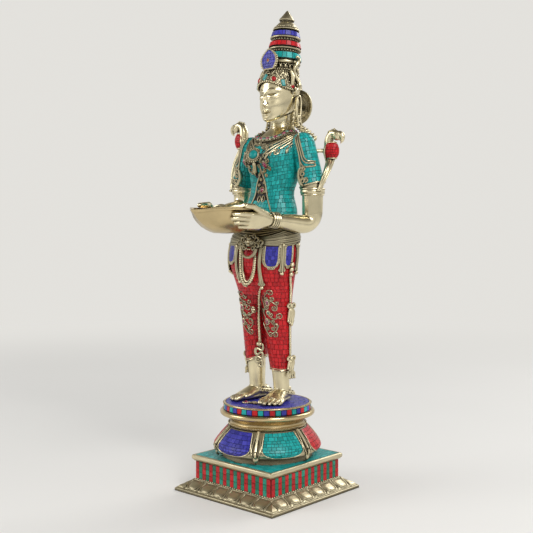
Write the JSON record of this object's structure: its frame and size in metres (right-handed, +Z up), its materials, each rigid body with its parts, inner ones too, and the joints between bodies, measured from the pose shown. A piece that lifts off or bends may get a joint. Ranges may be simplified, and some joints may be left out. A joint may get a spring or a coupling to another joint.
{
  "type": "oil lamp figure",
  "caption": "Standing lady in inlaid brass who holds an open oil-lamp bowl with a pinched spout, on a round disc, a lotus and a square plinth.",
  "frame": {"origin": "centre of the plinth's underside", "axes": "+Z up along the figure, the figure faces -Y and its left hand is on +X"},
  "size_m": [0.2648, 0.3236, 0.9206],
  "materials": {
    "brass": "polished, dark in the recesses",
    "coral": "polished stone chips with dark joints",
    "turquoise": "polished stone chips with dark joints",
    "lapis": "polished stone chips with dark joints",
    "malachite": "polished stone chips with dark joints",
    "ruby": "polished cabochon",
    "steel": "plain"
  },
  "bodies": {
    "root": {"plinth_casting": "brass", "plinth_stripes_coral": "coral", "plinth_stripes_malachite": "malachite", "plinth_top_inlay": "turquoise", "lotus_casting": "brass", "lotus_petals_lapis": "lapis", "lotus_petals_turquoise": "turquoise", "lotus_petals_coral": "coral", "pedestal_casting": "brass", "rim_strips_coral": "coral", "rim_strips_turquoise": "turquoise", "rim_strips_lapis": "lapis", "pedestal_top_inlay": "lapis", "tie_rod": "steel", "tie_rod_nuts": "steel", "foot_studs": "steel", "foot_stud_nuts": "steel", "left_leg": "brass", "right_leg": "brass", "left_leg_inlay": "coral", "right_leg_inlay": "coral", "trunk_casting": "brass", "hip_inlay": "coral", "blouse_inlay": "turquoise", "left_sleeve_inlay": "turquoise", "right_sleeve_inlay": "turquoise", "left_arm": "brass", "right_arm": "brass", "left_hand": "brass", "right_hand": "brass", "armlets": "brass", "bangles": "brass", "lamp_bowl": "brass", "head_casting": "brass", "braid": "brass", "ear_ornaments": "brass", "headband": "brass", "headband_turquoise": "turquoise", "headband_coral": "coral", "crown_casting": "brass", "crown_band_turquoise": "turquoise", "crown_band_coral": "coral", "crown_band_lapis": "lapis", "crown_finial": "brass", "crown_plume": "brass", "plume_lapis": "lapis", "halo_disc": "brass", "necklace": "brass", "pendant_turquoise": "turquoise", "ruby_cabochons": "ruby", "girdle": "brass", "girdle_clasp": "brass", "apron_frames": "brass", "apron_lapis": "lapis", "bead_swags": "brass", "middle_pleat": "brass", "side_sashes": "brass", "parrots": "brass", "parrot_coral": "coral"}
  },
  "joints": []
}
